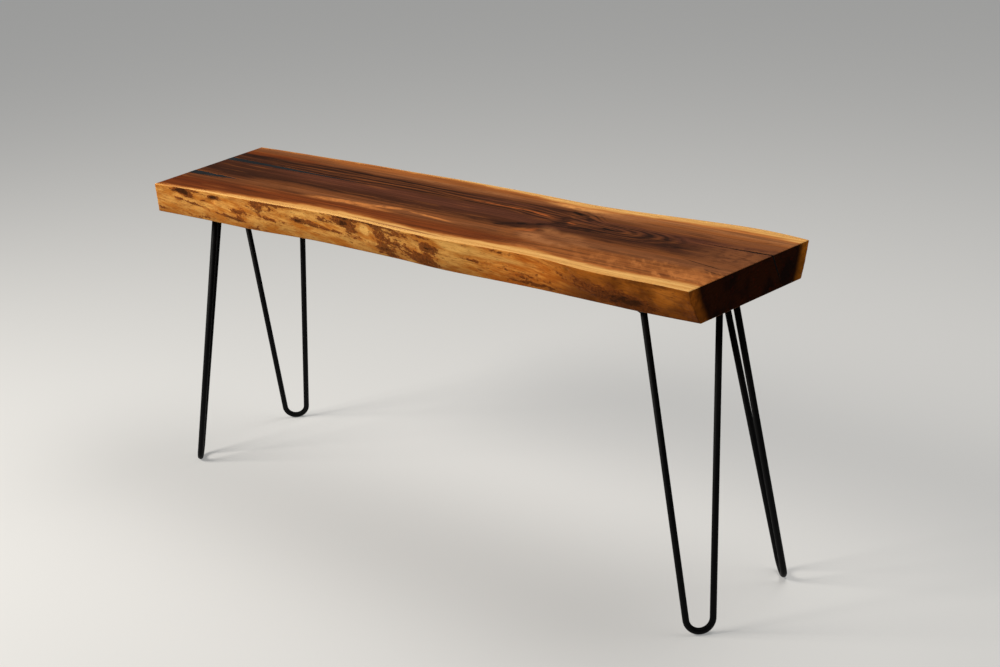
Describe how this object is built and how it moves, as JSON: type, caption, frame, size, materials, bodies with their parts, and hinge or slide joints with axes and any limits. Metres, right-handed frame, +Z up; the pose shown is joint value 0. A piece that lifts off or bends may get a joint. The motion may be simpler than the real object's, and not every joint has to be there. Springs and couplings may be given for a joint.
{
  "type": "live edge coffee table",
  "caption": "Narrow coffee table: a thick hardwood slab with natural edges and black resin fills, on splayed black hairpin legs.",
  "frame": {"origin": "on the floor, under the middle of the table's box", "axes": "+X along the slab towards the end with the thin check, +Y towards the back edge, +Z up"},
  "size_m": [1.1142, 0.2937, 0.508],
  "materials": {
    "walnut": "oiled, satin",
    "black_resin": "poured black resin, sanded flush",
    "black_coat": "black powder coat, satin",
    "screw_steel": "black oxide"
  },
  "bodies": {
    "root": {"slab": "walnut", "long_resin_fill": "black_resin", "short_resin_fill": "black_resin", "end_check_fill": "black_resin", "front_left_rod": "black_coat", "back_left_rod": "black_coat", "front_right_rod": "black_coat", "back_right_rod": "black_coat", "front_left_plate": "black_coat", "back_left_plate": "black_coat", "front_right_plate": "black_coat", "back_right_plate": "black_coat", "front_left_welds": "black_coat", "back_left_welds": "black_coat", "front_right_welds": "black_coat", "back_right_welds": "black_coat", "front_left_screws": "screw_steel", "back_left_screws": "screw_steel", "front_right_screws": "screw_steel", "back_right_screws": "screw_steel"}
  },
  "joints": []
}
